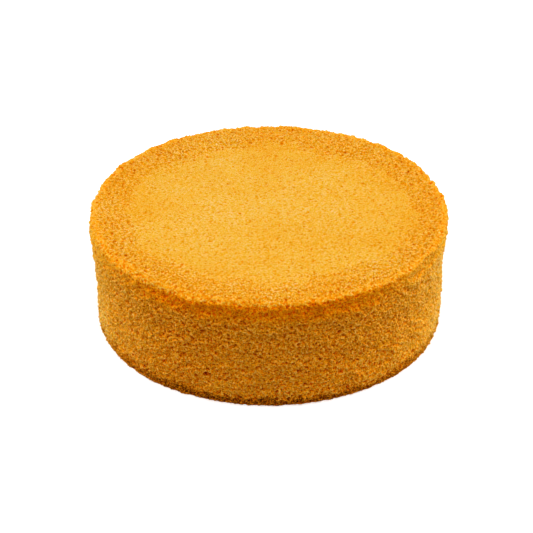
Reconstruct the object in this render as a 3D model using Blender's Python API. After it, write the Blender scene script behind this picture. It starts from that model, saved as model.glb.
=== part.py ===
"""A round layer of plain sponge cake, 200 mm across and 65 mm high, turned out of its tin.

The cake is one piece, so it is one solid. Its top is a little dished, with a rougher ring that
stands proud inside the rim. The side is torn crumb, and a browned crust tucks in at the foot.
Lengths are in metres, +Z is up, and the origin is the middle of the flat base.
"""

import math

import bmesh
import bpy
from mathutils import Vector, noise

MM = 0.001

# Driving dimensions
RIM_RADIUS = 100 * MM
FOOT_RADIUS = 98.3 * MM
HEIGHT = 65 * MM
SHOULDER = 2.6 * MM  # rounding of the top edge
HEEL = 1.0 * MM  # rounding of the bottom edge

# The top: a shallow dish, a crease round it, and the rough ring between crease and rim
RING_INNER = 80.5 * MM
RING_OVAL = 2.8 * MM  # the ring is narrower at the sides than at front and back
RING_WANDER = 4 * MM  # how far its inner edge strays in and out besides
RING_SLOPE = 4 * MM  # how far in the rise to the ring starts
RING_CREST = 92 * MM
DISH_DEPTH = 1.5 * MM
CREASE_DEPTH = 0.6 * MM
CREASE_HALF = 3.5 * MM

# The edge round the top: fuller than its plain rounding, but slumped on one side
EDGE_FULLNESS = 0.6 * MM
EDGE_SLUMP = 0.8 * MM
SLUMPED = math.radians(-122)
SLUMP_SPREAD = (0.4, 0.95)  # cosines of how far round from there the slump starts and is full

# Where the cake stands out, or back: (angle and half width in degrees, height, reach, how far)
SWELLS = (
    (43, 32, 65 * MM, 14 * MM, 0.9 * MM),
    (31, 8, 65 * MM, 14 * MM, 0.8 * MM),
    (17, 7, 65 * MM, 14 * MM, 0.5 * MM),
    (47, 5, 65 * MM, 14 * MM, 0.6 * MM),
    (95, 7, 65 * MM, 14 * MM, 0.5 * MM),
    (142, 14, 65 * MM, 14 * MM, 0.6 * MM),
    (150, 6, 65 * MM, 14 * MM, 1.5 * MM),
    (162, 7, 65 * MM, 14 * MM, 0.9 * MM),
    (-38, 30, 0, 38 * MM, 0.7 * MM),
    (-138, 32, 0, 22 * MM, 0.7 * MM),
    (190, 45, 30 * MM, 34 * MM, -0.8 * MM),
)

# The side: drawn in under the rim, torn above the foot, and stepped back at the crust
BAND_HEIGHT = 59 * MM
BAND_HALF = 4 * MM
BAND_DEPTH = 0.8 * MM
TEAR_HEIGHT = 11 * MM
TEAR_HALF = 4 * MM
TEAR_DEPTH = 1.8 * MM
CRUST_TOP = 6 * MM
CRUST_STEP = 0.5 * MM
CRUST_EDGE = 2.4 * MM  # height over which the step runs out
CRUST_RAGGED = 3 * MM

# Relief: (wavelength, height) of the slow swelling, the lumps, the torn crags and the crumb
SWELL = (70 * MM, 0.9 * MM)
LUMP = (21 * MM, 1.1 * MM)
CRAG = (9.5 * MM, 2.2 * MM)
CRUMB = (5 * MM, 0.8 * MM)
CRAG_MEAN = 0.27  # the crags' own mean, taken off so that they cut as much as they add
CENTRE_CALM = 0.22  # share of the relief left at the middle of the top
RIM_CALM = 0.7
STILL_BASE = 3 * MM  # the relief fades out over this height above the base

# Tears and hollows: (angle in degrees, radius on the top or height on the side, across, depth)
TOP_HOLLOWS = (
    (28, 88 * MM, 9 * MM, 2.0 * MM),
    (31, 95 * MM, 9 * MM, 1.6 * MM),
    (148, 91 * MM, 9 * MM, 1.3 * MM),
    (136, 86 * MM, 9 * MM, 1.4 * MM),
    (159, 97 * MM, 10 * MM, 1.5 * MM),
    (-151, 92 * MM, 10 * MM, 1.3 * MM),
    (-109, 84 * MM, 8 * MM, 0.8 * MM),
    (119, 68 * MM, 9 * MM, 0.7 * MM),
    (-36, 66 * MM, 9 * MM, 0.6 * MM),
)
SIDE_HOLLOWS = (
    (-124, 39 * MM, 9 * MM, 1.9 * MM),
    (-129, 50 * MM, 8 * MM, 1.5 * MM),
    (-110, 58 * MM, 9 * MM, 1.6 * MM),
    (-77, 28 * MM, 8 * MM, 1.4 * MM),
    (-132, 58 * MM, 9 * MM, 1.3 * MM),
    (-91, 50 * MM, 7 * MM, 1.1 * MM),
    (-52, 21 * MM, 8 * MM, 1.2 * MM),
    (-12, 41 * MM, 8 * MM, 1.5 * MM),
    (38, 30 * MM, 9 * MM, 1.5 * MM),
    (77, 48 * MM, 8 * MM, 1.6 * MM),
    (112, 22 * MM, 8 * MM, 1.3 * MM),
    (157, 44 * MM, 9 * MM, 1.6 * MM),
    (-166, 19 * MM, 7 * MM, 1.2 * MM),
)

# Mesh: squares along each side of the top's grid, and rows down the side and round each edge
TOP_GRID = 44
SIDE_ROWS = 17
EDGE_ROWS = 2

CRUMB_COLOUR = (0.83, 0.42, 0.06, 1.0)
CRUMB_ROUGHNESS = 0.9


def smooth_step(low, high, value):
    """0 below low, 1 above high, and a smooth rise between them."""
    share = min(max((value - low) / (high - low), 0.0), 1.0)
    return share * share * (3 - 2 * share)


def hump(distance, half_width):
    """1 at no distance, falling smoothly to 0 at half_width."""
    return 1 - smooth_step(0, half_width, abs(distance))


def on_disc(u, v):
    """The point of the unit disc for a point of the square from -1 to 1, with even spacing kept."""
    if abs(u) < 1e-9 and abs(v) < 1e-9:
        return 0.0, 0.0
    if abs(u) >= abs(v):
        radius, angle = u, v / u * math.pi / 4
    else:
        radius, angle = v, math.pi / 2 - u / v * math.pi / 4
    return radius * math.cos(angle), radius * math.sin(angle)


def arc(centre_radius, centre_height, size, start, end):
    """Stations (radius, height) along a quarter turn, after its first point."""
    steps = [start + (end - start) * (i + 1) / EDGE_ROWS for i in range(EDGE_ROWS)]
    return [
        (centre_radius + size * math.cos(a), centre_height + size * math.sin(a))
        for a in steps
    ]


def side_stations():
    """(radius, height) of each ring of points, from the edge of the top down to the base."""
    high, low = HEIGHT - SHOULDER, HEEL
    side = [
        (
            RIM_RADIUS + (FOOT_RADIUS - RIM_RADIUS) * i / SIDE_ROWS,
            high + (low - high) * i / SIDE_ROWS,
        )
        for i in range(1, SIDE_ROWS + 1)
    ]
    shoulder = arc(RIM_RADIUS - SHOULDER, high, SHOULDER, math.pi / 2, 0)
    heel = arc(FOOT_RADIUS - HEEL, low, HEEL, 0, -math.pi / 2)
    return shoulder + side + heel


def base_normal(point):
    """Which way the plain form faces at a point: up on the top, out on the side, between on the edge."""
    radius = math.hypot(point.x, point.y)
    past = radius - (RIM_RADIUS - SHOULDER)
    above = point.z - (HEIGHT - SHOULDER)
    if past <= 0 and above > 0:
        return Vector((0, 0, 1))
    out = Vector((point.x, point.y, 0)) / max(radius, MM)
    if above <= 0:
        return out
    return (out * past + Vector((0, 0, above))).normalized()


def wandering(angle, times, shift):
    """Noise that runs round the cake and meets itself, from about -0.5 to 0.5."""
    return noise.noise(Vector((times * math.cos(angle), times * math.sin(angle), shift)))


def ring_form(radius, angle):
    """Height of the top above its plain level: the dish, the crease and the ring."""
    inner = RING_INNER + RING_OVAL * math.cos(2 * angle) + RING_WANDER * wandering(angle, 3.5, 3.1)
    rise = smooth_step(inner - RING_SLOPE, (inner + RING_CREST) / 2, radius)
    crease = hump(radius - inner, CREASE_HALF) * (0.6 + wandering(angle, 6, 5.3))
    return DISH_DEPTH * (rise - 1) - CREASE_DEPTH * crease


def edge_form(angle, facing_up):
    """How far the edge round the top stands out from its plain rounding."""
    corner = 2 * facing_up * math.sqrt(max(1 - facing_up ** 2, 0))
    slump = smooth_step(*SLUMP_SPREAD, math.cos(angle - SLUMPED))
    return corner * (EDGE_FULLNESS - (EDGE_FULLNESS + EDGE_SLUMP) * slump)


def swell_at(point, angle):
    """How far the slow swells of the rim, the side and the foot move a point outwards."""
    total = 0.0
    for middle, half, height, reach, far in SWELLS:
        turn = math.degrees(math.remainder(angle - math.radians(middle), math.tau))
        away = math.hypot(RIM_RADIUS - math.hypot(point.x, point.y), height - point.z)
        total += far * hump(turn, half) * hump(away, reach)
    return total


def side_form(height, angle):
    """How far the side stands back from its plain form."""
    band = BAND_DEPTH * hump(height - BAND_HEIGHT, BAND_HALF) * (0.7 + wandering(angle, 9, 7.7))
    tear_height = TEAR_HEIGHT + TEAR_HALF * wandering(angle, 7, 1.9)
    torn = max(wandering(angle, 8, 9.4), 0.0)
    tear = TEAR_DEPTH * hump(height - tear_height, TEAR_HALF) * torn
    crust_top = CRUST_TOP + CRUST_RAGGED * wandering(angle, 16, 2.7)
    step = CRUST_STEP * (1 - smooth_step(crust_top - CRUST_EDGE, crust_top, height))
    return band + tear + step


def roughness_at(radius, height):
    """Share of the relief: full on the side, less on the rim, and little at the top's middle."""
    if height < HEIGHT - SHOULDER:
        return 1.0
    return CENTRE_CALM + (RIM_CALM - CENTRE_CALM) * smooth_step(RING_INNER - RING_SLOPE, RING_CREST, radius)


def waves(point, wave, shift):
    """Smooth noise of a (wavelength, height) pair at a point."""
    length, height = wave
    return height * noise.noise(point / length + Vector((shift, 0, 0)))


def crags(point):
    """Torn crumb: rounded hollows parted by sharper ridges."""
    length, height = CRAG
    return height * (CRAG_MEAN - noise.turbulence(point / length, 2, True))


def top_hollows(point):
    """Depth of the tears and dimples of the top at a point."""
    depth = 0.0
    for angle, radius, across, deep in TOP_HOLLOWS:
        turn = math.radians(angle)
        centre = Vector((radius * math.cos(turn), radius * math.sin(turn), point.z))
        depth += deep * hump((point - centre).length, across / 2)
    return depth


def side_hollows(point, angle):
    """Depth of the larger holes of the side at a point."""
    depth = 0.0
    for turn, height, across, deep in SIDE_HOLLOWS:
        apart = math.remainder(angle - math.radians(turn), math.tau) * RIM_RADIUS
        depth += deep * hump(math.hypot(apart, point.z - height), across / 2)
    return depth


def worn(point):
    """Where a point of the plain form lies on the real cake."""
    radius, angle = math.hypot(point.x, point.y), math.atan2(point.y, point.x)
    normal = base_normal(point)
    facing_up = normal.z
    still = smooth_step(0, STILL_BASE, point.z)
    fine = waves(point, LUMP, 40) + waves(point, CRUMB, 80) + crags(point)
    along = waves(point, SWELL, 0) + roughness_at(radius, point.z) * fine
    along += edge_form(angle, facing_up)
    along -= (1 - facing_up) * (side_form(point.z, angle) + side_hollows(point, angle))
    lift = facing_up * (ring_form(radius, angle) - top_hollows(point))
    along = still * along + swell_at(point, angle)
    return point + normal * along + Vector((0, 0, still * lift))


def boundary(mesh):
    return [edge for edge in mesh.edges if edge.is_boundary]


def plain_form():
    """The top as a grid pulled round, its edge drawn down ring by ring, and a flat base."""
    mesh = bmesh.new()
    bmesh.ops.create_grid(mesh, x_segments=TOP_GRID, y_segments=TOP_GRID, size=1)
    flat = RIM_RADIUS - SHOULDER
    for vert in mesh.verts:
        x, y = on_disc(vert.co.x, vert.co.y)
        vert.co = Vector((flat * x, flat * y, HEIGHT))
    for radius, height in side_stations():
        drawn = bmesh.ops.extrude_edge_only(mesh, edges=boundary(mesh))
        for vert in (item for item in drawn["geom"] if isinstance(item, bmesh.types.BMVert)):
            out = Vector((vert.co.x, vert.co.y)).normalized() * radius
            vert.co = Vector((out.x, out.y, height))
    bmesh.ops.edgeloop_fill(mesh, edges=boundary(mesh))
    bmesh.ops.recalc_face_normals(mesh, faces=mesh.faces)
    return mesh


def crumb_material():
    material = bpy.data.materials.new("crumb")
    material.use_nodes = True
    shader = material.node_tree.nodes["Principled BSDF"]
    shader.inputs["Base Color"].default_value = CRUMB_COLOUR
    shader.inputs["Roughness"].default_value = CRUMB_ROUGHNESS
    return material


def make_sponge():
    form = plain_form()
    for vert in form.verts:
        vert.co = worn(vert.co)
    bmesh.ops.triangulate(form, faces=form.faces, quad_method="SHORT_EDGE")
    data = bpy.data.meshes.new("sponge")
    form.to_mesh(data)
    form.free()
    data.materials.append(crumb_material())
    data.shade_smooth()
    data.set_sharp_from_angle(angle=math.radians(60))
    cake = bpy.data.objects.new("sponge", data)
    bpy.context.scene.collection.objects.link(cake)
    return cake


def main():
    for old in list(bpy.data.objects):
        bpy.data.objects.remove(old)
    make_sponge()


main()
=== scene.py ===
"""Looks of a plain round sponge cake: torn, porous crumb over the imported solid, in soft studio light.

The solid carries the cake's form. Here a fine skin is laid over it, and the skin is opened by
thousands of baked bubbles, large and deep on the side, small and shallow on the smooth top.
Lengths are in metres.
"""

import math

import bpy
import numpy as np
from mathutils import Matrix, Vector
from mathutils.bvhtree import BVHTree
from mathutils.kdtree import KDTree


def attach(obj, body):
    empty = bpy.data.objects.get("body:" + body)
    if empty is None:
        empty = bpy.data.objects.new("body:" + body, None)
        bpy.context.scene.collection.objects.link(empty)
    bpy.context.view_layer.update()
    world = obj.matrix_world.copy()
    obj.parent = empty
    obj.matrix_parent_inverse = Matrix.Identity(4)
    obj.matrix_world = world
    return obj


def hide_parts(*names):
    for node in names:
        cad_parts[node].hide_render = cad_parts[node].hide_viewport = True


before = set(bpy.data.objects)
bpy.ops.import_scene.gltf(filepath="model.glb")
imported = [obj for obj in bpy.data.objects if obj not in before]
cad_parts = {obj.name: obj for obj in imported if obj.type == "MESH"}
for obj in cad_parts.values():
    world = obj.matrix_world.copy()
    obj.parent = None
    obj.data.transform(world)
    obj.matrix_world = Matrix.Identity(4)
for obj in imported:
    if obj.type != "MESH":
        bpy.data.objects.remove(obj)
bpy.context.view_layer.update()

MM = 0.001
SEED = 20
NOISE_VALUES = 4096
NOISE_SHIFT = 512  # keeps the noise's lattice clear of negative places

# The cake's plain form, before any relief
RIM_RADIUS = 100 * MM
FOOT_RADIUS = 98.3 * MM
HEIGHT = 65 * MM
SHOULDER = 2.6 * MM
HEEL = 1.0 * MM

# The top's rough ring: where it starts, how oval that line is, how it strays (wavelength, amount),
# and how far inside and outside the line it fades in
RING_INNER = 80.5 * MM
RING_OVAL = 2.8 * MM
RING_STRAY = ((16 * MM, 4 * MM), (5 * MM, 2.5 * MM))
RING_FADE = (14 * MM, 8 * MM)

# Skin: the length of its squares, and how far the solid is looked for on either side of it
SQUARE = 0.40 * MM
ROW = 0.9 * SQUARE  # height of the side's squares
SEARCH = 8 * MM
FACET_BLUR = 1.3 * MM  # the solid's facets are smoothed over about this length

# Bubbles: (zone, radius, spread of radius, tries per square mm, height of the middle above the skin)
BUBBLES = (
    ("side", 1.9 * MM, 0.20, 0.010, 0.35),
    ("side", 1.25 * MM, 0.22, 0.12, 0.15),
    ("side", 0.9 * MM, 0.20, 0.9, 0.05),
    ("side", 0.62 * MM, 0.20, 2.5, 0.0),
    ("side", 0.45 * MM, 0.20, 4.0, 0.0),
    ("ring", 1.1 * MM, 0.25, 0.03, 0.45),
    ("ring", 0.8 * MM, 0.22, 0.3, 0.35),
    ("ring", 0.55 * MM, 0.20, 1.6, 0.25),
    ("centre", 0.8 * MM, 0.25, 0.02, 0.45),
    ("centre", 0.5 * MM, 0.25, 0.35, 0.35),
)
FLATTENED = 1.25  # how much wider than high a bubble is
CLAIMED = 0.6  # share of a bubble's opening in which no other bubble starts
LEAST_OPENING = 0.05  # the opening's radius, squared, as a share of the bubble's
WARP = ((2.4 * MM, 0.55 * MM), (1.0 * MM, 0.3 * MM))  # (wavelength, amount) of the bubbles' crookedness
LIFT = {"side": 0.5 * MM, "ring": 0.25 * MM, "centre": 0.03 * MM}  # makes up for what the bubbles take
HEIGHT_SPREAD = 0.45  # how far a bubble's middle strays up and down, as a share of its radius
SIZE_LIMITS = (0.5, 1.8)  # a bubble's radius stays within these shares of the usual one

# Torn cell walls that stand up as curly threads: (wavelength, noise level at their foot, height)
THREADS = ((2.1 * MM, 0.22, 0.56 * MM), (1.3 * MM, 0.28, 0.40 * MM))
THREAD_SHARE = {"side": 1.0, "ring": 0.55, "centre": 0.12}

# Grain: (wavelength, height on the side, on the ring, on the centre)
GRAIN = (
    (3.1 * MM, 0.22 * MM, 0.26 * MM, 0.09 * MM),
    (1.5 * MM, 0.12 * MM, 0.22 * MM, 0.09 * MM),
    (0.8 * MM, 0.24 * MM, 0.22 * MM, 0.09 * MM),
)

# Level folds under the lip, where the crumb has sunk as it cooled
FOLD_HEIGHT, FOLD_HALF = 56 * MM, 6 * MM
FOLD_LENGTH, FOLD_STRETCH = 7 * MM, 3.2
FOLD_DEPTH = 0.7 * MM

# The top's crust ends in crumbs: (wavelength, height). It ends raggedly at about this height,
# lower where the edge has slumped, and a little higher where it stands proud
EDGE_CRUMBS = ((3.2 * MM, 0.30 * MM), (1.3 * MM, 0.28 * MM))
CRUST_END, CRUST_FADE, EDGE_RAGGED = 63.5 * MM, 0.5 * MM, 0.6 * MM
CRUST_DROPS = ((-128, 22, 1.3 * MM), (-65, 18, -0.6 * MM))  # (angle, half width in degrees, drop)

FRAY = 0.17 * MM  # sideways straying of the skin's points
CENTRE_UNFRAYED = 0.6  # share of it that the smooth centre is spared
STILL_BASE = 1.2 * MM  # the crumb fades out over this height above the base
CAVITY_SPAN = 1.2 * MM  # a hollow counts as one against its surroundings this far out

# Colour: the palest crumb's colour is raised to a power, its toasting, with painted side light and
# painted shade in it, and then lit or shaded by painted light and shade
CRUMB_COLOUR = (0.93, 0.47, 0.058, 1)
SHADIEST_SIDE = math.radians(-92)  # the crumb's colour is deepest on this side, the front, and painted paler away from it: painted side light
PALE_TURN = 0.84  # the painted side light is full where 1 - cos of the angle from the shadiest side reaches this
LEAST_TOAST = 0.6
SHADE_LIMITS = (0.15, 1.3)

# Toasting of the top, of its very edge, of the side, and how much less the sides have, painted side
# light
TOAST_CENTRE = 0.82
TOAST_RIM = 0.29
TOAST_RISE = (60 * MM, 102 * MM)  # the top browns between these radii
TOAST_EDGE = 0.07
EDGE_RISE = (94 * MM, 98.5 * MM)
TOAST_SIDE = 1.47
PAINTED_SIDE_LIGHT = 0.50
PATCHES = ((32 * MM, 0.09), (11 * MM, 0.06), (4 * MM, 0.05))  # (wavelength, toasting) of uneven browning

# The lip, a band high on the side, partly browner crust and partly painted shade under the top's edge,
# and the foot's crust. Both end raggedly
RAGGED = ((7 * MM, 1.5 * MM), (2.5 * MM, 1.2 * MM))  # (wavelength, amount)
BAND_LOW = 50 * MM
BAND_FADE = 9 * MM
LIP_TOAST_AND_SHADE = 0.36
LIP_AROUND = 0.25  # share of the lip's browning and painted shade on the other sides
LIP_FACING = (0.6, 0.97)  # cosines of the angles from the shadiest side between which it fades
CRUST_TOP = 5.5 * MM
CRUST_SPAN = (2.5 * MM, 1 * MM)  # the crust fades from this far below its top to this far above
CRUST_WAVE = (13 * MM, 1.3 * MM)  # (wavelength, amount) of its top's rise and fall
CRUST_LESS = 0.6  # share of the crust that the side in most painted side light lacks: painted light
TOAST_FOOT = 0.42
FOOT_SHADE = 0.56

# Painted light and shade, beyond the crumb's own colour: brighter at the top's edge, on the ring, the
# side, the lip, the brim and low on the side as light from the floor, and darker on the sides in most
# painted side light
EDGE_LIGHT = 0.185
RING_LIGHT = 0.11
SIDE_LIGHT = 0.15
PALE_DIM = 0.10
LIP_LIGHT = 0.34
BRIM_LIGHT = 0.15
BRIM_RISE = (57 * MM, 61 * MM)
LOW_LIGHT = 0.26
LOW_FALL = (10 * MM, 46 * MM)  # the low side's painted floor light ends between these heights
LOW_PALE = 0.8  # the share of it that the side in most painted side light has at any height

# Hollows, in units of the usual hollow's depth: their painted shade, as deeper colour and as darkening;
# ridges, below zero, get a painted highlight
USUAL_HOLLOW = {"side": 0.34 * MM, "ring": 0.25 * MM, "centre": 0.10 * MM}
HOLLOW_LIMITS = (-0.3, 3)
SIDE_RIDGES = 0.3  # the side's ridges count further than the lower limit by this much, for a stronger painted highlight at the front
PIT_SHADE_DEEPENING = {"side": 0.50, "ring": 0.55, "centre": 0.18}
PIT_SHADE = {"side": 0.17, "ring": 0.05, "centre": 0.0}

# Specks and grain of the crumb, by zone
SPECK_TOAST = 0.90
FINE_TOAST = 0.34
SPECKLED = {"side": 0.9, "ring": 0.9, "centre": 0.8}
GRAIN_SHADE = 0.49
COARSE = {"side": 1.0, "ring": 0.5, "centre": 0.15}
LOW_COARSER = 0.2  # how much coarser the grain is low on the side
# How much less the side in most painted side light has of the pits' painted deepening, the pits' painted
# shade, grain and specks
LIT_SIDE_FLATTENING = (0.15, 0.8, 0.35, 0.35)

# Blue goes faster than red and green as the crumb is toasted
BLUE_BEND = (1.35, -0.40)  # from place to place its toasting is the rest's times and plus these
BLUE_LOSS = 2.7  # how much faster it goes in the painted shade of hollows and of the lip, in the lip's browning, and in specks
BLUE_GAIN = 2.3  # how much faster it comes back in the ridges' painted highlight

# Texture of the crumb: the noises' scales per metre, and the stretch of a noise that is used
FLECK_SCALE, SPECK_SCALE, ROUGH_SCALE, BUMP_SCALE = 1700, 750, 700, 1500
SPECK_RANGE = (0.56, 0.75)
FLECK_RANGE = (0.3, 0.7)
GRAIN_RANGE = (0.35, 0.65)
ROUGHNESS = (0.78, 0.95)
BUMP_DEPTH, BUMP_STRENGTH = 0.2 * MM, 0.85
SHADER_VALUES = {
    "Specular IOR Level": 0.03,
    "Specular Tint": (1.0, 0.75, 0.4, 1),
    "Sheen Weight": 0.22,
    "Sheen Roughness": 0.3,
    "Sheen Tint": (1.0, 0.68, 0.2, 1),
    "Subsurface Weight": 0.3,
    "Subsurface Radius": (1.0, 0.5, 0.25),
    "Subsurface Scale": 0.7 * MM,
}

# Lights: (name, place, aim, width, height, watts), and the sky's strength overhead and below,
# between these heights of the direction looked in
LIGHTS = (
    ("top_softbox", (0.06, -0.38, 0.95), (0, 0, 0.03), 0.8, 0.8, 3.35),
    ("left_softbox", (-0.88, 0.2, 0.45), (0, 0, 0.03), 0.8, 0.8, 5.2),
    ("right_softbox", (0.88, 0.2, 0.38), (0, 0, 0.03), 0.8, 0.8, 5.4),
)
SKY_HIGH = 0.405
SKY_LOW = 0.50
SKY_RISE = (-0.4, 0.6)

# Floor: a white sheet that glows a little
FLOOR_SIZE = 12.0
FLOOR_GREY, FLOOR_ROUGHNESS, FLOOR_GLOW = 0.98, 0.9, 0.45

# The colour map: the length that its width stands for, the middles of the top and of the base on
# it, the base's scale, and the left and lower edges of the side's two strips
MAP_SIZE = 352 * MM
TOP_PLACE = (102 * MM, 248 * MM)
BASE_PLACE = (260 * MM, 250 * MM)
BASE_SHARE = 0.5
STRIP_LEFT = 12 * MM
STRIP_HEIGHTS = (4 * MM, 76 * MM)

# The base is closed by rings this far apart, each of half as many points, down to about this many
BASE_STEP = 4 * MM
BASE_POINTS = 200
BASE_LIMIT = -0.9  # points that look down more than this lie on the base

# Camera: where the photograph was taken from
ELEVATION = math.radians(31.75)
DISTANCE = 900 * MM
SENSOR, LENS = 36.0, 106.5  # in millimetres, as a camera's are given
AIM_LEFT, AIM_DOWN = 1.4 * MM, 5.9 * MM  # it looks this far beside and below the cake's middle


def smooth_step(low, high, value):
    """0 below low, 1 above high, and a smooth rise between them."""
    share = np.clip((value - low) / (high - low), 0.0, 1.0)
    return share * share * (3 - 2 * share)


def lattice_noise(points, wavelength, seed):
    """Smooth noise from -1 to 1 at each point, from random values on a cubic lattice."""
    rng = np.random.default_rng(seed)
    table = rng.permutation(NOISE_VALUES)
    values = rng.uniform(-1, 1, NOISE_VALUES)
    scaled = points / wavelength + NOISE_SHIFT
    cell = np.floor(scaled).astype(np.int64)
    part = scaled - cell
    part = part * part * (3 - 2 * part)
    total = np.zeros(len(points))
    for corner in np.ndindex(2, 2, 2):
        x, y, z = (cell + corner).T
        place = table[x % NOISE_VALUES] + y
        place = table[place % NOISE_VALUES] + z
        value = values[table[place % NOISE_VALUES]]
        share = np.prod(np.where(corner, part, 1 - part), axis=1)
        total += share * value
    return total


def sum_of_noise(points, waves, seed):
    """Noise of several (wavelength, amount), each from the next seed."""
    return sum(
        amount * lattice_noise(points, length, seed + i) for i, (length, amount) in enumerate(waves)
    )


def by_zone(zones, values):
    """A value of each zone, mixed by the zones' shares at each point."""
    return sum(zones[zone] * value for zone, value in values.items())


class Skin:
    """The fine grid over the plain form: points, outward directions, faces and their map places."""

    def __init__(self):
        self.points, self.normals, self.faces, self.places = [], [], [], []
        self.count = 0

    def add_points(self, points, normals):
        first = self.count
        self.points.append(points)
        self.normals.append(normals)
        self.count += len(points)
        return np.arange(first, self.count)

    def add_faces(self, corners, places):
        self.faces.append(corners)
        self.places.append(places)

    def close(self):
        self.points = np.concatenate(self.points)
        self.normals = np.concatenate(self.normals)


def disc_map(squares):
    """The points of the unit disc for those of a square grid, with even spacing kept."""
    line = np.linspace(-1, 1, squares + 1)
    u, v = (axis.ravel() for axis in np.meshgrid(line, line, indexing="ij"))
    wide = np.abs(u) >= np.abs(v)
    safe_u, safe_v = np.where(u == 0, 1, u), np.where(v == 0, 1, v)
    radius = np.where(wide, u, v)
    angle = np.where(wide, v / safe_u * math.pi / 4, math.pi / 2 - u / safe_v * math.pi / 4)
    return np.stack([radius * np.cos(angle), radius * np.sin(angle)], axis=1)


def grid_faces(indices):
    """Quads of a two-dimensional array of point indices."""
    return np.stack(
        [indices[:-1, :-1], indices[1:, :-1], indices[1:, 1:], indices[:-1, 1:]], axis=-1
    ).reshape(-1, 4)


def rim_of(indices):
    """The outer points of a square grid, once round, counter-clockwise from its first point."""
    return np.concatenate(
        [indices[:-1, 0], indices[-1, :-1], indices[:0:-1, -1], indices[0, :0:-1]]
    )


def side_profile():
    """(radius, height, outward slope angle) of each ring, from the top's edge down to the base."""
    rows = []
    turns = max(int(round(SHOULDER * math.pi / 2 / SQUARE)), 3)
    for i in range(1, turns + 1):
        a = math.pi / 2 * (1 - i / turns)
        out, up = SHOULDER * math.cos(a), SHOULDER * math.sin(a)
        rows.append((RIM_RADIUS - SHOULDER + out, HEIGHT - SHOULDER + up, a))
    high, low = HEIGHT - SHOULDER, HEEL
    count = int(round((high - low) / ROW))
    for i in range(1, count + 1):
        share = i / count
        radius = RIM_RADIUS + (FOOT_RADIUS - RIM_RADIUS) * share
        rows.append((radius, high + (low - high) * share, 0.0))
    turns = max(int(round(HEEL * math.pi / 2 / SQUARE)), 3)
    for i in range(1, turns + 1):
        a = -math.pi / 2 * i / turns
        rows.append((FOOT_RADIUS - HEEL + HEEL * math.cos(a), HEEL + HEEL * math.sin(a), a))
    return rows


def flat_places(points, centre):
    return (points[:, :, :2] + centre) / MAP_SIZE


def lay_skin():
    """The plain form's skin: the top, the side's rings down to the base, and the base."""
    skin = Skin()
    squares = int(round(2 * math.pi * RIM_RADIUS / SQUARE / 4))
    flat = RIM_RADIUS - SHOULDER
    disc = disc_map(squares)
    top = np.column_stack([disc * flat, np.full(len(disc), HEIGHT)])
    up = np.tile([0.0, 0.0, 1.0], (len(top), 1))
    indices = skin.add_points(top, up).reshape(squares + 1, squares + 1)
    faces = grid_faces(indices)
    skin.add_faces(faces, flat_places(top[faces], TOP_PLACE))

    ring = rim_of(indices)
    angles = np.arctan2(top[ring][:, 1], top[ring][:, 0])
    around = np.column_stack([np.cos(angles), np.sin(angles)])
    count = len(ring)
    profile = side_profile()
    lengths = [0.0]
    last = (flat, HEIGHT)
    rings = [ring]
    for radius, height, slope in profile:
        points = np.column_stack([around * radius, np.full(count, height)])
        normals = np.column_stack([around * math.cos(slope), np.full(count, math.sin(slope))])
        rings.append(skin.add_points(points, normals))
        lengths.append(lengths[-1] + math.hypot(radius - last[0], height - last[1]))
        last = (radius, height)
    table = np.array(rings)
    halves = np.arange(count) // ((count + 1) // 2)
    for row in range(len(table) - 1):
        here, after = np.arange(count), (np.arange(count) + 1) % count
        over, under = table[row], table[row + 1]
        faces = np.stack([over[here], under[here], under[after], over[after]], axis=-1)
        left = (here - halves * ((count + 1) // 2)) * SQUARE
        bottom = np.array(STRIP_HEIGHTS)[halves]
        places = np.stack([
            np.column_stack([left, bottom + lengths[row]]),
            np.column_stack([left, bottom + lengths[row + 1]]),
            np.column_stack([left + SQUARE, bottom + lengths[row + 1]]),
            np.column_stack([left + SQUARE, bottom + lengths[row]]),
        ], axis=1)
        skin.add_faces(faces, (places + [STRIP_LEFT, 0]) / MAP_SIZE)

    ring, radius = table[-1], last[0]
    while len(ring) > BASE_POINTS and len(ring) % 2 == 0:
        radius -= BASE_STEP
        inner_around = around[:: count // (len(ring) // 2)]
        points = np.column_stack([inner_around * radius, np.zeros(len(ring) // 2)])
        inner = skin.add_points(points, np.tile([0.0, 0.0, -1.0], (len(points), 1)))
        outer_around = around[:: count // len(ring)]
        skin.add_faces(*halving(ring, inner, radius, radius + BASE_STEP, outer_around, inner_around))
        ring = inner
    skin.last_ring = ring
    skin.close()
    return skin


def halving(outer, inner, inner_radius, outer_radius, outer_around, inner_around):
    """Triangles from a ring to one of half as many points inside it."""
    n = len(inner)
    i = np.arange(n)
    a, b, c = outer[2 * i], outer[2 * i + 1], outer[(2 * i + 2) % (2 * n)]
    p, q = inner[i], inner[(i + 1) % n]
    faces = [np.stack([a, p, b], -1), np.stack([b, p, q], -1), np.stack([b, q, c], -1)]
    where_out, where_in = outer_around * outer_radius, inner_around * inner_radius
    A, B, C = where_out[2 * i], where_out[2 * i + 1], where_out[(2 * i + 2) % (2 * n)]
    P, Q = where_in[i], where_in[(i + 1) % n]
    places = [np.stack([A, P, B], 1), np.stack([B, P, Q], 1), np.stack([B, Q, C], 1)]
    return np.concatenate(faces), (np.concatenate(places) * BASE_SHARE + BASE_PLACE) / MAP_SIZE


def neighbours(skin):
    """Each edge of the quads as two arrays of point indices."""
    pairs = []
    for faces in skin.faces:
        if faces.shape[1] == 4:
            for i in range(4):
                pairs.append(np.stack([faces[:, i], faces[:, (i + 1) % 4]], -1))
    pairs = np.unique(np.sort(np.concatenate(pairs), axis=1), axis=0)
    return pairs[:, 0], pairs[:, 1]


def blurred(values, edges, length):
    """Values averaged over about a length, along the skin."""
    a, b = edges
    size = len(values)
    count = np.bincount(a, minlength=size) + np.bincount(b, minlength=size) + 1.0
    for _ in range(max(int(round((length / SQUARE) ** 2)), 1)):
        total = values + np.bincount(a, values[b], size) + np.bincount(b, values[a], size)
        values = total / count
    return values


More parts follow.
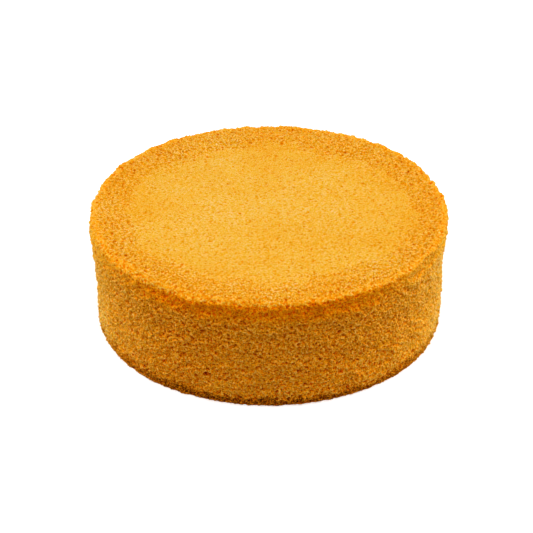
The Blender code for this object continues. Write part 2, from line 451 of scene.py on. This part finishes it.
def solid_offset(skin):
    """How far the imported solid's surface lies outside the plain form at each point."""
    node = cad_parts["sponge"]
    tree = BVHTree.FromObject(node, bpy.context.evaluated_depsgraph_get())
    offset = np.zeros(len(skin.points))
    for i in np.flatnonzero(skin.normals[:, 2] > BASE_LIMIT):
        point, normal = Vector(skin.points[i]), Vector(skin.normals[i])
        hit = tree.ray_cast(point + normal * SEARCH, -normal, 2 * SEARCH)
        if hit[0] is not None:
            offset[i] = SEARCH - hit[3]
    return offset


def main_zones(skin):
    """Share of each zone at each point: the side, the rough ring of the top, and its smooth centre."""
    radius = np.hypot(skin.points[:, 0], skin.points[:, 1])
    angle = np.arctan2(skin.points[:, 1], skin.points[:, 0])
    inner = RING_INNER + RING_OVAL * np.cos(2 * angle)
    inner += sum_of_noise(skin.points, RING_STRAY, SEED + 1)
    ragged = EDGE_RAGGED * lattice_noise(skin.points, EDGE_CRUMBS[0][0], SEED + 3)
    end = CRUST_END + ragged
    for where, half, drop in CRUST_DROPS:
        end = end - drop * np.exp(-((np.degrees(angle) - where) / half) ** 2)
    side = 1 - smooth_step(end, end + CRUST_FADE, skin.points[:, 2])
    ring = smooth_step(inner - RING_FADE[0], inner + RING_FADE[1], radius) * (1 - side)
    return {"side": side, "ring": ring, "centre": (1 - side) * (1 - ring)}


def open_bubbles(points, normals, zones, rng):
    """Depth of the bubbles that the skin cuts open, largest first, at each point."""
    stretch = np.array([1, 1, FLATTENED])
    spots = points.copy()
    for i, (length, amount) in enumerate(WARP):
        for axis in range(3):
            spots[:, axis] += amount * lattice_noise(points, length, SEED + 50 + 3 * i + axis)
    spots *= stretch
    tree = KDTree(len(spots))
    for i, spot in enumerate(spots):
        tree.insert(spot, i)
    tree.balance()
    taken = np.zeros(len(spots), bool)
    depth = np.zeros(len(spots))
    for zone, radius, spread, per_mm2, height in BUBBLES:
        inside = np.flatnonzero((zones[zone] > 0.5) & (points[:, 2] > STILL_BASE))
        tries = int(len(inside) * (SQUARE / MM) ** 2 * per_mm2)
        chosen = rng.permutation(inside)[:tries]
        sizes = radius * np.clip(rng.normal(1, spread, len(chosen)), *SIZE_LIMITS)
        heights = height + rng.uniform(-HEIGHT_SPREAD, HEIGHT_SPREAD, len(chosen))
        owners, members = [], []
        for k, i in enumerate(chosen):
            if taken[i]:
                continue
            size, high = sizes[k], heights[k]
            centre = spots[i] + normals[i] * high * size
            opening = CLAIMED * size * math.sqrt(max(1 - high * high, LEAST_OPENING))
            claim = math.hypot(high * size, opening)
            for _, j, distance in tree.find_range(centre, size):
                owners.append(k)
                members.append(j)
                if distance < claim:
                    taken[j] = True
        if not owners:
            continue
        owners, members = np.array(owners), np.array(members)
        centres = spots[chosen] + normals[chosen] * (heights * sizes)[:, None]
        away = spots[members] - centres[owners]
        along = normals[members] * stretch
        slant = (away * along).sum(1)
        square = (along * along).sum(1)
        inner = slant ** 2 - square * ((away ** 2).sum(1) - sizes[owners] ** 2)
        reach = (slant + np.sqrt(np.maximum(inner, 0))) / square
        np.maximum.at(depth, members, reach)
    return depth


def build_crumb():
    """The skin, its points with all their relief, their zones, and how hollow each place is."""
    rng = np.random.default_rng(SEED)
    skin = lay_skin()
    edges = neighbours(skin)
    offset = blurred(solid_offset(skin), edges, FACET_BLUR)
    zones = main_zones(skin)
    base = skin.points + skin.normals * offset[:, None]
    depth = open_bubbles(base, skin.normals, zones, rng)
    fine = by_zone(zones, LIFT) - depth
    for i, (length, *heights) in enumerate(GRAIN):
        grain = by_zone(zones, dict(zip(("side", "ring", "centre"), heights)))
        fine += grain * lattice_noise(base, length, SEED + 10 + i)
    for i, (length, foot, height) in enumerate(THREADS):
        wall = np.clip(1 - np.abs(lattice_noise(base, length, SEED + 40 + i)) / foot, 0, 1)
        fine += wall * height * by_zone(zones, THREAD_SHARE)
    level = zones["side"] * np.exp(-((base[:, 2] - FOLD_HEIGHT) / FOLD_HALF) ** 2)
    fine += level * FOLD_DEPTH * lattice_noise(base * [1, 1, FOLD_STRETCH], FOLD_LENGTH, SEED + 70)
    edge = np.sin(np.pi * np.clip(skin.normals[:, 2], 0, 1))
    fine += edge * sum_of_noise(base, EDGE_CRUMBS, SEED + 80)
    still = smooth_step(0, STILL_BASE, skin.points[:, 2])
    fine *= still
    loose = still * (1 - CENTRE_UNFRAYED * zones["centre"])
    sideways = rng.normal(0, FRAY, base.shape) * loose[:, None]
    sideways -= skin.normals * (sideways * skin.normals).sum(1)[:, None]
    points = base + skin.normals * fine[:, None] + sideways
    points[:, 2] = np.maximum(points[:, 2], 0)
    cavity = (blurred(fine, edges, CAVITY_SPAN) - fine) / by_zone(zones, USUAL_HOLLOW)
    return skin, points, zones, cavity


def make_mesh(skin, points):
    """The skin as one smooth mesh, with its places on the colour map."""
    mesh = bpy.data.meshes.new("sponge_crumb")
    quads = np.concatenate([f for f in skin.faces if f.shape[1] == 4])
    triangles = np.concatenate([f for f in skin.faces if f.shape[1] == 3])
    corners = np.concatenate([quads.ravel(), triangles.ravel(), skin.last_ring])
    fours, threes = np.full(len(quads), 4), np.full(len(triangles), 3)
    sizes = np.concatenate([fours, threes, [len(skin.last_ring)]])
    mesh.vertices.add(len(points))
    mesh.vertices.foreach_set("co", points.ravel())
    mesh.loops.add(len(corners))
    mesh.loops.foreach_set("vertex_index", corners)
    mesh.polygons.add(len(sizes))
    mesh.polygons.foreach_set("loop_start", np.concatenate([[0], np.cumsum(sizes)[:-1]]))
    mesh.update(calc_edges=True)
    mesh.validate()
    places = [p for f, p in zip(skin.faces, skin.places) if f.shape[1] == 4]
    places += [p for f, p in zip(skin.faces, skin.places) if f.shape[1] == 3]
    last = (points[skin.last_ring][:, :2] * BASE_SHARE + BASE_PLACE) / MAP_SIZE
    layer = mesh.uv_layers.new(name="OFBake")
    flat = np.concatenate([p.reshape(-1, 2) for p in places] + [last])
    layer.data.foreach_set("uv", flat.ravel())
    mesh.shade_smooth()
    return mesh


def add_attribute(mesh, name, values):
    attribute = mesh.attributes.new(name, "FLOAT", "POINT")
    attribute.data.foreach_set("value", values.astype(np.float32))


def crumb_material():
    """Soft matt crumb: its colour is the palest crumb's, deepened by the toasting of each place and by
    painted shade.

    Attributes of the mesh say how far each place is toasted, painted side light included ("toast"),
    how much deeper it is for the lip's browning and for painted shade in hollows and under the lip,
    and how much paler for painted highlight on ridges ("pit"), what painted light and shade and the
    foot crust's darkness make of it ("shade"), and how much speckle and grain it has ("speckled",
    "coarse").
    """
    material = bpy.data.materials.new("crumb_baked")
    material.use_nodes = True
    nodes, links = material.node_tree.nodes, material.node_tree.links
    shader = nodes["Principled BSDF"]

    def attribute(name):
        node = nodes.new("ShaderNodeAttribute")
        node.attribute_name = name
        return node.outputs["Fac"]

    def added(first, second, operation="ADD"):
        node = nodes.new("ShaderNodeMath")
        node.operation = operation
        links.new(first, node.inputs[0])
        links.new(second, node.inputs[1])
        return node.outputs["Value"]

    def scaled(value, factor, addend=0.0):
        node = nodes.new("ShaderNodeMath")
        node.operation = "MULTIPLY_ADD"
        links.new(value, node.inputs[0])
        node.inputs[1].default_value, node.inputs[2].default_value = factor, addend
        return node.outputs["Value"]

    def ranged(value, low, high, to_low, to_high):
        node = nodes.new("ShaderNodeMapRange")
        node.interpolation_type = "SMOOTHSTEP"
        links.new(value, node.inputs["Value"])
        names = ("From Min", "From Max", "To Min", "To Max")
        for name, number in zip(names, (low, high, to_low, to_high)):
            node.inputs[name].default_value = number
        return node.outputs["Result"]

    def speckle(scale, detail):
        node = nodes.new("ShaderNodeTexNoise")
        links.new(place, node.inputs["Vector"])
        node.inputs["Scale"].default_value = scale
        node.inputs["Detail"].default_value = detail
        return node.outputs["Fac"]

    place = nodes.new("ShaderNodeTexCoord").outputs["Object"]
    fleck = speckle(FLECK_SCALE, 1)
    specks = ranged(speckle(SPECK_SCALE, 2), *SPECK_RANGE, 0, SPECK_TOAST)
    specks = added(specks, ranged(fleck, *FLECK_RANGE, FINE_TOAST, 0))
    # the crumb's specks, the lip's browning, painted shade in hollows and under the lip, and painted
    # highlight on ridges
    spots = added(attribute("pit"), added(specks, attribute("speckled"), "MULTIPLY"))
    losses = added(scaled(spots, BLUE_LOSS), scaled(spots, BLUE_GAIN), "MAXIMUM")
    red, green, blue, _ = CRUMB_COLOUR
    deepened = nodes.new("ShaderNodeVectorMath")
    toast = attribute("toast")
    parts = (
        ((red, green, 0, 1), toast, spots),
        ((0, 0, blue, 1), scaled(toast, *BLUE_BEND), losses),
    )
    for i, (colour, general, local) in enumerate(parts):
        power = nodes.new("ShaderNodeGamma")
        power.inputs["Color"].default_value = colour
        links.new(added(general, local), power.inputs["Gamma"])
        links.new(power.outputs["Color"], deepened.inputs[i])
    grain = ranged(fleck, *GRAIN_RANGE, GRAIN_SHADE, -GRAIN_SHADE / 2)
    grain = added(grain, attribute("coarse"), "MULTIPLY")
    # painted light and shade and the foot crust's darkness, less the grain's shade
    shade = added(attribute("shade"), grain, "SUBTRACT")
    shaded = nodes.new("ShaderNodeVectorMath")
    shaded.operation = "SCALE"
    links.new(deepened.outputs["Vector"], shaded.inputs[0])
    links.new(shade, shaded.inputs["Scale"])
    links.new(shaded.outputs["Vector"], shader.inputs["Base Color"])
    roughness = ranged(speckle(ROUGH_SCALE, 2), *FLECK_RANGE, *ROUGHNESS)
    links.new(roughness, shader.inputs["Roughness"])
    bump = nodes.new("ShaderNodeBump")
    bump.inputs["Distance"].default_value = BUMP_DEPTH
    bump.inputs["Strength"].default_value = BUMP_STRENGTH
    links.new(added(speckle(BUMP_SCALE, 3), attribute("coarse"), "MULTIPLY"), bump.inputs["Height"])
    links.new(bump.outputs["Normal"], shader.inputs["Normal"])
    for name, value in SHADER_VALUES.items():
        shader.inputs[name].default_value = value
    return material


def browning(skin, points, zones, cavity):
    """Toasting of each point, with painted side light and painted shade in it, and the painted light and
    shade and crust darkness that scale its colour.
    """
    height, radius = skin.points[:, 2], np.hypot(skin.points[:, 0], skin.points[:, 1])
    facing = np.cos(np.arctan2(skin.points[:, 1], skin.points[:, 0]) - SHADIEST_SIDE)
    # painted side light: the crumb is painted paler on the sides away from the front, as if lit there by
    # the side softboxes
    side_lit = smooth_step(0, PALE_TURN, 1 - facing)
    less_side_light = 1 - side_lit

    ragged = sum_of_noise(points, RAGGED, SEED + 30)
    lip = smooth_step(BAND_LOW + ragged, BAND_LOW + BAND_FADE + ragged, height)
    # the lip's band, partly browning and partly painted shade under the top's edge, is strongest at the
    # front
    lip *= zones["side"] * (LIP_AROUND + (1 - LIP_AROUND) * smooth_step(*LIP_FACING, facing))
    end = CRUST_TOP + ragged + CRUST_WAVE[1] * lattice_noise(points, CRUST_WAVE[0], SEED + 32)
    crust = 1 - smooth_step(end - CRUST_SPAN[0], end + CRUST_SPAN[1], height)
    # the foot's crust is painted lighter where the painted side light falls
    crust *= 1 - CRUST_LESS * side_lit
    edge = (1 - zones["side"]) * smooth_step(*EDGE_RISE, radius)
    brim = smooth_step(*BRIM_RISE, height)
    # painted light from the floor, low on the side
    low = 1 - smooth_step(*LOW_FALL, height)
    low += (LOW_PALE - low) * side_lit

    top = TOAST_CENTRE + TOAST_RIM * smooth_step(*TOAST_RISE, radius) + TOAST_EDGE * edge
    # the side's toasting is painted paler where the painted side light falls
    side = TOAST_SIDE - PAINTED_SIDE_LIGHT * side_lit + TOAST_FOOT * crust
    toast = top + (side - top) * zones["side"] + sum_of_noise(points, PATCHES, SEED + 60)

    # painted shade deepens and darkens hollows; ridges, below zero, get a painted highlight, stronger at
    # the front
    ridges, deepest = HOLLOW_LIMITS
    hollow = np.clip(cavity, ridges - SIDE_RIDGES * zones["side"] * less_side_light, deepest)
    # the sides in most painted side light get less of the pits' painted shade, of grain and of specks
    pits, shades, grains, specks = (1 - share * side_lit * zones["side"] for share in LIT_SIDE_FLATTENING)
    pit = hollow * pits * by_zone(zones, PIT_SHADE_DEEPENING) + LIP_TOAST_AND_SHADE * lip
    # painted shade darkens hollows and the foot's crust is darker; painted light brightens the lip, the
    # ring, the top's edge, the side, the brim and the low side, and painted shade dims the sides in most
    # painted side light
    shade = 1 - hollow * shades * by_zone(zones, PIT_SHADE)
    shade *= (1 - FOOT_SHADE * crust) * (1 + LIP_LIGHT * lip)
    shade *= 1 + zones["ring"] * RING_LIGHT + EDGE_LIGHT * edge
    light = SIDE_LIGHT + LOW_LIGHT * low - PALE_DIM * side_lit + BRIM_LIGHT * brim * less_side_light
    shade *= 1 + zones["side"] * light
    coarser = 1 + LOW_COARSER * low * zones["side"] * less_side_light
    return {
        "toast": np.maximum(toast, LEAST_TOAST),
        "pit": pit,
        "shade": np.clip(shade, *SHADE_LIMITS),
        "speckled": by_zone(zones, SPECKLED) * specks,
        "coarse": by_zone(zones, COARSE) * grains * coarser,
    }


def make_cake():
    """The whole cake as one piece in the place of the solid."""
    skin, points, zones, cavity = build_crumb()
    mesh = make_mesh(skin, points)
    for name, values in browning(skin, points, zones, cavity).items():
        add_attribute(mesh, name, values)
    mesh.materials.append(crumb_material())
    cake = bpy.data.objects.new("sponge_crumb", mesh)
    bpy.context.scene.collection.objects.link(cake)
    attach(cake, "root")
    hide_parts("sponge")


def make_camera():
    """The photograph's view: from the front, looking down."""
    back = Vector((0, -math.cos(ELEVATION), math.sin(ELEVATION)))
    rise = Vector((0, math.sin(ELEVATION), math.cos(ELEVATION)))
    middle = Vector((0, 0, HEIGHT / 2))
    data = bpy.data.cameras.new("camera")
    data.sensor_width = SENSOR
    data.lens = LENS
    camera = bpy.data.objects.new("camera", data)
    camera.location = middle + back * DISTANCE
    aim = middle - rise * AIM_DOWN - Vector((AIM_LEFT, 0, 0))
    camera.rotation_mode = "QUATERNION"
    camera.rotation_quaternion = (aim - camera.location).to_track_quat("-Z", "Y")
    bpy.context.scene.collection.objects.link(camera)
    bpy.context.scene.camera = camera


def make_floor():
    """The plain white ground that the cake rests on."""
    mesh = bpy.data.meshes.new("floor")
    half = FLOOR_SIZE / 2
    corners = [(-half, -half, 0), (half, -half, 0), (half, half, 0), (-half, half, 0)]
    mesh.from_pydata(corners, [], [(0, 1, 2, 3)])
    material = bpy.data.materials.new("floor_white")
    material.use_nodes = True
    shader = material.node_tree.nodes["Principled BSDF"]
    shader.inputs["Base Color"].default_value = (FLOOR_GREY, FLOOR_GREY, FLOOR_GREY, 1)
    shader.inputs["Roughness"].default_value = FLOOR_ROUGHNESS
    shader.inputs["Emission Color"].default_value = (1, 1, 1, 1)
    shader.inputs["Emission Strength"].default_value = FLOOR_GLOW
    mesh.materials.append(material)
    floor = bpy.data.objects.new("floor", mesh)
    bpy.context.scene.collection.objects.link(floor)
    floor.visible_diffuse = False  # the cake is lit from above and the sides, not by the floor


def add_light(name, place, aim, width, height, power):
    data = bpy.data.lights.new(name, "AREA")
    data.shape = "RECTANGLE"
    data.size, data.size_y, data.energy = width, height, power
    light = bpy.data.objects.new(name, data)
    light.location = place
    light.rotation_mode = "QUATERNION"
    light.rotation_quaternion = (Vector(aim) - Vector(place)).to_track_quat("-Z", "Y")
    bpy.context.scene.collection.objects.link(light)


def make_lights():
    """Three softboxes and a white sky that is a little brighter below."""
    for light in LIGHTS:
        add_light(*light)
    world = bpy.data.worlds.new("studio")
    world.use_nodes = True
    nodes, links = world.node_tree.nodes, world.node_tree.links
    direction = nodes.new("ShaderNodeSeparateXYZ")
    links.new(nodes.new("ShaderNodeTexCoord").outputs["Generated"], direction.inputs[0])
    fade = nodes.new("ShaderNodeMapRange")
    names = ("From Min", "From Max", "To Min", "To Max")
    for name, number in zip(names, (*SKY_RISE, SKY_LOW, SKY_HIGH)):
        fade.inputs[name].default_value = number
    links.new(direction.outputs["Z"], fade.inputs["Value"])
    background = nodes["Background"]
    background.inputs["Color"].default_value = (1, 1, 1, 1)
    links.new(fade.outputs["Result"], background.inputs["Strength"])
    bpy.context.scene.world = world
    bpy.context.scene.view_settings.view_transform = "Standard"


make_camera()
make_cake()
make_floor()
make_lights()
